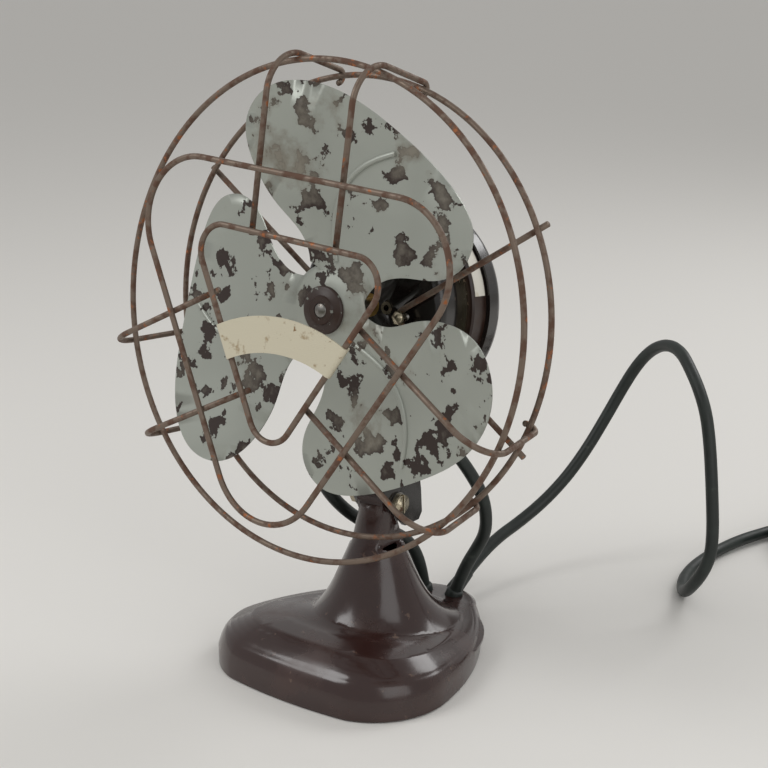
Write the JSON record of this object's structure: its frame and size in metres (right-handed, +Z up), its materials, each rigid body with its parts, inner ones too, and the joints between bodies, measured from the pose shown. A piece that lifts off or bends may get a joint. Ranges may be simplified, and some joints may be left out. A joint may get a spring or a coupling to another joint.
{
  "type": "desk fan",
  "caption": "Small electric desk fan: pressed blade rotor in an open wire guard, round motor on a tilting neck, and a moulded stand with a flared column and a stepped base.",
  "frame": {"origin": "on the table under the axis of the stand's column, on the underside of the base pad", "axes": "+Z up along the column, the fan blows towards -Y, +X is the fan's own left as it faces forward"},
  "size_m": [0.3551, 0.516, 0.3427],
  "materials": {
    "brown_phenolic": "moulded, polished, worn",
    "black_phenolic": "moulded, polished",
    "rusty_wire": "rusted steel wire",
    "silver_paint": "aged silver paint, chipped",
    "brown_paint": "dark enamel, worn",
    "banner_metal": "finely lined, lacquered",
    "nickel": "tarnished nickel plate",
    "steel": "plain steel",
    "laminated_steel": "stacked laminations",
    "copper": "varnished winding",
    "bronze": "sintered bush",
    "rubber": "aged dark rubber",
    "felt": "pressed felt",
    "blank_plate": "bare pale plate",
    "cotton": "woven tape"
  },
  "bodies": {
    "stand": {"stand_shell": "brown_phenolic", "base_plate": "steel", "base_pad": "felt", "base_plate_screws": "steel", "terminal_block": "black_phenolic", "terminal_screws": "bronze", "mains_strain_relief": "rubber", "lead_grommet_left": "rubber", "lead_grommet_right": "rubber", "motor_lead_left": "rubber", "motor_lead_right": "rubber", "mains_cord": "rubber", "cord_coil": "rubber", "coil_tie": "cotton", "plug_body": "black_phenolic", "plug_pins": "bronze"},
    "head": {"neck_bracket": "black_phenolic", "tilt_washers": "steel", "tilt_bolt": "nickel", "tilt_nut": "nickel", "motor_front_bell": "black_phenolic", "motor_trim_ring": "nickel", "motor_drum": "brown_phenolic", "motor_rear_cover": "black_phenolic", "stator_core": "laminated_steel", "stator_coils": "copper", "front_bearing": "bronze", "rear_bearing": "bronze", "guard_studs": "steel", "cap_nuts": "nickel", "oil_eyelet": "nickel", "rating_plate": "blank_plate", "motor_bush_left": "rubber", "motor_bush_right": "rubber", "guard_front_ring": "rusty_wire", "guard_rear_ring": "rusty_wire", "guard_large_triangle": "rusty_wire", "guard_small_triangle": "rusty_wire", "guard_banner": "banner_metal", "guard_bracket_left": "rusty_wire", "guard_bracket_right": "rusty_wire", "guard_spoke_1": "rusty_wire", "guard_spoke_2": "rusty_wire", "guard_spoke_3": "rusty_wire", "guard_spoke_4": "rusty_wire", "guard_spoke_5": "rusty_wire", "guard_spoke_6": "rusty_wire"},
    "rotor": {"motor_shaft": "steel", "rotor_core": "laminated_steel", "shaft_collar": "brown_paint", "fan_blade": "silver_paint", "hub_boss": "brown_paint"}
  },
  "joints": [
    {"name": "head_tilt", "type": "hinge", "parent": "stand", "child": "head", "pos_m": [0, 0.003, 0.091], "axis": [-1, 0, 0], "range_deg": [-25, 20], "deforming": ["motor_lead_left", "motor_lead_right"]},
    {"name": "rotor_spin", "type": "hinge", "parent": "head", "child": "rotor", "pos_m": [0, -0.05587, 0.21129], "axis": [0, -0.9932, 0.1167], "continuous": true}
  ]
}
